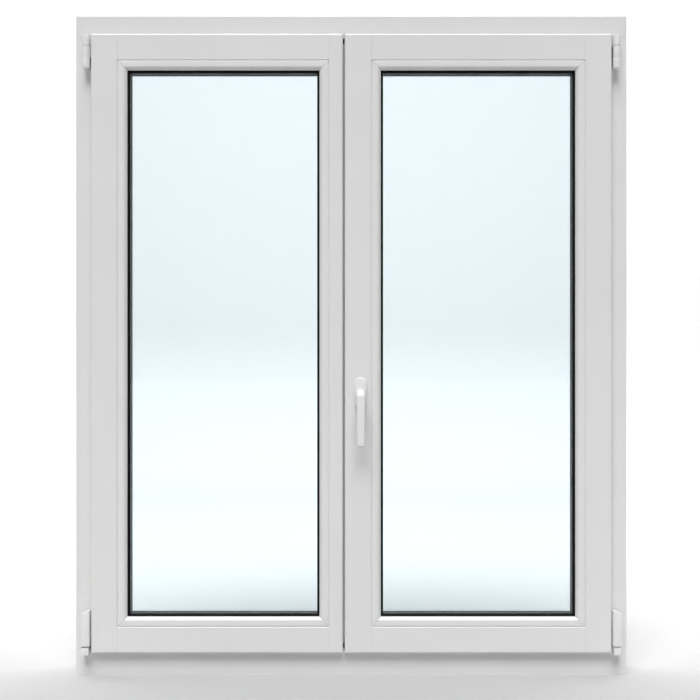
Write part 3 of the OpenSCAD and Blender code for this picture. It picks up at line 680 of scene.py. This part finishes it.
class WINDOW_OT_handle(bpy.types.Operator):
    """Makes the handle's domed rosette and its swept lever"""
    bl_idname = "window.handle"
    bl_label = "Handle"

    def execute(self, context):
        lo, hi = low("handle_rosette"), high("handle_rosette")
        self.rosette(lo, hi)
        self.lever(context.scene.window_sizes, (lo + hi) / 2)
        return {"FINISHED"}

    def rosette(self, lo, hi):
        """Rounded slot: a point at angle a lies at centre + (R - d)(cos a, sin a), moved up or down
        by the half length. The dome's height is H - c - e (1 - sin b) where d = e (1 - cos b), then
        a slight crown rises by c."""
        radius = (hi[0] - lo[0]) / 2
        half = (hi[2] - lo[2]) / 2 - radius
        centre_x, centre_z = (lo[0] + hi[0]) / 2, (lo[2] + hi[2]) / 2
        thick = hi[1] - lo[1]
        edge, crown = 2.4 * MM, 0.3 * MM
        b = np.linspace(0, math.pi / 2, 8)
        inset = np.concatenate([[0], edge * (1 - np.cos(b)),
                                [edge + 3 * MM, edge + 6 * MM, radius - 0.1 * MM]])
        height = np.concatenate([[0], thick - edge * (1 - np.sin(b)),
                                 [thick + 0.15 * MM, thick + 0.25 * MM, thick + crown]])
        height -= crown * (height > 0)
        a = np.linspace(0, 2 * math.pi, 64, endpoint=False) + math.pi / 64
        x = centre_x + (radius - inset[:, None]) * np.cos(a)
        z = centre_z + (radius - inset[:, None]) * np.sin(a) + half * np.sign(np.sin(a))
        y = np.broadcast_to((hi[1] - height)[:, None], x.shape)
        piece("rosette_shell", [tube(np.stack([x, y, z], axis=-1))], FINISH["coat"],
              "right_leaf", ("handle_rosette",))

    def lever(self, sizes, axis):
        """Sections carried along a path that leaves the rosette along -Y, turns down through a
        quarter circle and runs to the tip. A section is |x / w|^n + |t / h|^n = 1, drawn as
        x = w |cos a|^(2/n), t = h |sin a|^(2/n) with their signs: round at the neck, where n is 2,
        and squarer on the blade, where n is 4.4. The tip closes as a quarter round."""
        lo, hi = low("handle_lever"), high("handle_lever")
        y_in, y_out, z_tip = hi[1], lo[1], lo[2]
        y_blade = y_out + BLADE_THICK[0]
        neck_y = y_in + (y_blade + BEND - y_in) * np.linspace(0, 1, NECK_RINGS)
        b = np.linspace(0, math.pi / 2, BEND_RINGS + 1)[1:]
        blade = np.linspace(0, 1, BLADE_RINGS + 1)[1:]
        z_start = axis[2] - BEND
        neck_ones, blade_ones = np.ones(NECK_RINGS), np.ones(BLADE_RINGS)
        y = np.concatenate([neck_y, y_blade + BEND * (1 - np.sin(b)), y_blade * blade_ones])
        z = np.concatenate([axis[2] * neck_ones, z_start + BEND * np.cos(b),
                            z_start + (z_tip - z_start) * blade])
        angle = np.concatenate([0 * neck_ones, b, math.pi / 2 * blade_ones])
        # share of the taper done, and of the change from round neck to flat blade
        taper = np.concatenate([0 * neck_ones, 0.05 * b / b[-1], 0.05 + 0.95 * blade])
        fade = np.concatenate([0 * neck_ones, b / b[-1], blade_ones])
        close = np.clip((z - z_tip) / sizes.lever_tip, 0, 1)
        close = np.sqrt(np.clip(1 - (1 - close) ** 2, 0.0009, 1))
        w = (BLADE_WIDE[0] - BLADE_WIDE[1] * taper) * (0.35 + 0.65 * close) ** 0.5
        h = (NECK_THICK * (1 - fade) + (BLADE_THICK[0] - BLADE_THICK[1] * taper) * fade) * close
        power = 2 / (2.0 + 2.4 * fade)[:, None]
        a = np.linspace(0, 2 * math.pi, 48, endpoint=False)
        cos_a, sin_a = np.cos(a)[None], np.sin(a)[None]
        across = np.sign(cos_a) * np.abs(cos_a) ** power * w[:, None]
        up = np.sign(sin_a) * np.abs(sin_a) ** power * h[:, None]
        # the section's upward side turns with the path, from +Z at the neck to -Y on the blade
        points = np.stack([axis[0] + across, y[:, None] - up * np.sin(angle)[:, None],
                           z[:, None] + up * np.cos(angle)[:, None]], axis=-1)
        collar = lathe_level((axis[0], y_in, axis[2]), 10.6 * MM, 2.2 * MM)
        piece("lever_shell", [tube(points), collar], FINISH["coat"], "handle",
              ("handle_lever",))


# radius of the screw heads in each kind of plate
PLATE_HEAD = 3.4 * MM
GUIDE_HEAD = 3.0 * MM
STRIKER_HEAD = 2.8 * MM
KEEP_HEAD = 2.0 * MM
# the faceplate's screws: how many, and how far the first and last lie from its lower and upper end
FACEPLATE_SCREWS, FACEPLATE_LOW, FACEPLATE_HIGH = 6, 25 * MM, 95 * MM
# distances of a bolt plate's screws from its outer end
PLATE_SCREWS = (8 * MM, 62 * MM)


def mid_depth(node):
    """Y halfway through a node."""
    return (low(node)[1] + high(node)[1]) / 2


class WINDOW_OT_screws(bpy.types.Operator):
    """Makes the screw heads in the faceplate, guide, bolt plates, striker and keeps"""
    bl_idname = "window.screws"
    bl_label = "Edge screws"

    def execute(self, context):
        plate_lo, plate_hi = low("lock_faceplate"), high("lock_faceplate")
        y = mid_depth("lock_faceplate")
        heights = np.linspace(plate_lo[2] + FACEPLATE_LOW, plate_hi[2] - FACEPLATE_HIGH,
                              FACEPLATE_SCREWS)
        self.heads("faceplate_screws", [(plate_lo[0], y, z) for z in heights],
                   (-1, 0, 0), PLATE_HEAD, "right_leaf")

        guide_lo, guide_hi = low("stay_guide"), high("stay_guide")
        y = mid_depth("stay_guide")
        self.heads("guide_screws",
                   [(x, y, guide_hi[2]) for x in (guide_lo[0] + 9 * MM, guide_hi[0] - 7 * MM)],
                   (0, 0, 1), GUIDE_HEAD, "right_leaf")

        bolts_lo, bolts_hi = low("bolt_plates"), high("bolt_plates")
        y = mid_depth("bolt_plates")
        heights = [bolts_lo[2] + d for d in PLATE_SCREWS] + [bolts_hi[2] - d for d in PLATE_SCREWS]
        self.heads("bolt_plate_screws", [(bolts_hi[0], y, z) for z in heights],
                   (1, 0, 0), PLATE_HEAD, "left_leaf")

        hook_lo, hook_hi = low("striker"), high("striker")
        y = mid_depth("striker") + 3 * MM
        self.heads("striker_screws",
                   [(bolts_hi[0], y, z) for z in (hook_lo[2] + 5 * MM, hook_hi[2] - 5 * MM)],
                   (1, 0, 0), STRIKER_HEAD, "left_leaf")

        inset = 2.6 * MM
        for node, face, normal in (("head_keep", low, (0, 0, -1)), ("sill_keep", high, (0, 0, 1))):
            lo, hi = low(node) + inset, high(node) - inset
            z = face(node)[2]
            self.heads(f"{node}_screws", [(lo[0], lo[1], z), (hi[0], hi[1], z)],
                       normal, KEEP_HEAD, "frame")
        return {"FINISHED"}

    def heads(self, name, places, normal, radius, body):
        """Screw heads that stand a hair proud of a plate's face."""
        proud = np.array(normal) * 0.02 * MM
        shells = [screw_head(np.array(place) + proud, normal, radius) for place in places]
        piece(name, shells, FINISH["steel"], body)


# strength of the surround at the horizon and higher up, and where that change starts and ends
# (Z of the direction, so 0.3 is 17 degrees up)
WORLD_LIGHT = (0.42, 0.1)
WORLD_RISE = (0.0, 0.3)
# strength, width and height in degrees: steep above the room and wide, so that the shadows under
# the lips are soft, and turned a little to one side
KEY_LIGHT = (3.25, 35.0, 60.0)
KEY_ASIDE = -6.0
# name, place, size, power, aimed at
LIGHTS = (
    ("backdrop top light", (0.0, 1.0, 4.2), (6.0, 1.6), 138.0, (0.0, 3.4, 0.9)),
    ("backdrop low light", (0.0, 0.7, 2.4), (6.0, 0.5), 122.0, (0.0, 3.8, 0.8)),
)
# camera: sensor and lens in mm, place across and up, and distance in front of the frame
SENSOR, LENS = 36.0, 59.97
CAMERA_X, CAMERA_Z, CAMERA_BACK = -0.0028, 0.695, 2.5
# the sheet of floor and backdrop: half width, front edge, start and radius of the turn, top
SHEET_HALF, SHEET_FRONT, SHEET_TURN, SHEET_RADIUS, SHEET_TOP = 22.0, -25.0, 3.0, 0.8, 9.0


class WINDOW_OT_stage(bpy.types.Operator):
    """Makes the pale floor and backdrop, the soft lights and the camera"""
    bl_idname = "window.stage"
    bl_label = "Stage"

    def execute(self, context):
        scene = context.scene
        scene.view_settings.view_transform = "Standard"
        self.backdrop(scene)
        self.surround(scene)
        self.key_light(scene, *KEY_LIGHT)
        for light in LIGHTS:
            self.area_light(scene, *light)
        camera = bpy.data.objects.new("camera", bpy.data.cameras.new("camera"))
        camera.data.sensor_width = SENSOR
        camera.data.lens = LENS
        camera.location = (CAMERA_X, low("frame_head")[1] - CAMERA_BACK, CAMERA_Z)
        camera.rotation_euler = (math.radians(90), 0, 0)
        scene.collection.objects.link(camera)
        scene.camera = camera
        return {"FINISHED"}

    def surround(self, scene):
        """Soft light from all round: at the horizon as bright as the floor, so that no edge shows
        in the glass, and dim higher up."""
        world = bpy.data.worlds.new("soft surround")
        world.use_nodes = True
        tree = world.node_tree
        shader = tree.nodes["Background"]
        shader.inputs["Color"].default_value = linear(scene.window_colours.surround)
        up = add_node(tree, "ShaderNodeTexCoord").outputs["Generated"]
        height = add_node(tree, "ShaderNodeSeparateXYZ", links={"Vector": up}).outputs["Z"]
        tree.links.new(spread(tree, height, *WORLD_LIGHT, *WORLD_RISE), shader.inputs["Strength"])
        scene.world = world

    def key_light(self, scene, strength, across, height):
        """A far round light, across degrees wide, on the room side and height degrees up."""
        data = bpy.data.lights.new("key from above", "SUN")
        data.energy = strength
        data.angle = math.radians(across)
        light = bpy.data.objects.new("key from above", data)
        light.rotation_euler = (math.radians(90 - height), 0, math.radians(KEY_ASIDE))
        scene.collection.objects.link(light)

    def area_light(self, scene, name, place, size, watts, target):
        """A rectangular soft light aimed at a point."""
        data = bpy.data.lights.new(name, "AREA")
        data.shape = "RECTANGLE"
        data.size, data.size_y = size
        data.energy = watts
        light = bpy.data.objects.new(name, data)
        x, y, z = np.array(target, float) - np.array(place, float)
        light.location = place
        light.rotation_euler = (math.atan2(math.hypot(x, y), -z), 0, math.atan2(x, -y) + math.pi)
        scene.collection.objects.link(light)

    def backdrop(self, scene):
        """Floor and wall in one sheet: y = T + R sin b, z = R (1 - cos b) through the turn, with a
        level run before it and an upright one after."""
        b = np.linspace(0, math.pi / 2, 17)
        y = np.concatenate([[SHEET_FRONT], SHEET_TURN + SHEET_RADIUS * np.sin(b),
                            [SHEET_TURN + SHEET_RADIUS]])
        z = np.concatenate([[0.0], SHEET_RADIUS * (1 - np.cos(b)), [SHEET_TOP]])
        z += low("frame_sill")[2]
        x = np.linspace(-SHEET_HALF, SHEET_HALF, 7)
        points = np.stack(np.broadcast_arrays(x[:, None], y[None], z[None]), axis=-1)
        mesh = bpy.data.meshes.new("floor")
        mesh.from_pydata(points.reshape(-1, 3).tolist(), [], grid_faces(len(x), len(y)).tolist())
        mesh.polygons.foreach_set("use_smooth", np.ones(len(mesh.polygons), dtype=bool))
        floor = bpy.data.objects.new("floor", mesh)
        scene.collection.objects.link(floor)
        material, _, shader, _ = blank("pale floor", Roughness=0.9)
        shader.inputs["Base Color"].default_value = linear(scene.window_colours.floor)
        mesh.materials.append(material)


OPERATORS = (WINDOW_OT_finishes, WINDOW_OT_beads, WINDOW_OT_seals, WINDOW_OT_hinge_covers,
             WINDOW_OT_handle, WINDOW_OT_screws, WINDOW_OT_stage)


class WINDOW_PT_tools(bpy.types.Panel):
    """Lists the sizes, the colours and the steps that finish the window"""
    bl_idname = "WINDOW_PT_tools"
    bl_label = "Casement window"
    bl_space_type = "VIEW_3D"
    bl_region_type = "UI"
    bl_category = "Window"

    def draw(self, context):
        scene = context.scene
        for kind, group in ((WindowSizes, scene.window_sizes), (WindowColours, scene.window_colours)):
            for name in kind.__annotations__:
                self.layout.prop(group, name)
        for step in OPERATORS:
            self.layout.operator(step.bl_idname, text=step.bl_label)


CLASSES = (WindowSizes, WindowColours, *OPERATORS, WINDOW_PT_tools)


def register():
    """Registers every class and hangs the settings on the scene."""
    for item in CLASSES:
        bpy.utils.register_class(item)
    bpy.types.Scene.window_sizes = bpy.props.PointerProperty(type=WindowSizes)
    bpy.types.Scene.window_colours = bpy.props.PointerProperty(type=WindowColours)


def unregister():
    """Takes the settings and the classes away again."""
    del bpy.types.Scene.window_colours
    del bpy.types.Scene.window_sizes
    for item in reversed(CLASSES):
        bpy.utils.unregister_class(item)


def main():
    """Runs every step in order."""
    register()
    for step in OPERATORS:
        group, name = step.bl_idname.split(".")
        getattr(getattr(bpy.ops, group), name)()


if __name__ == "__main__":
    main()
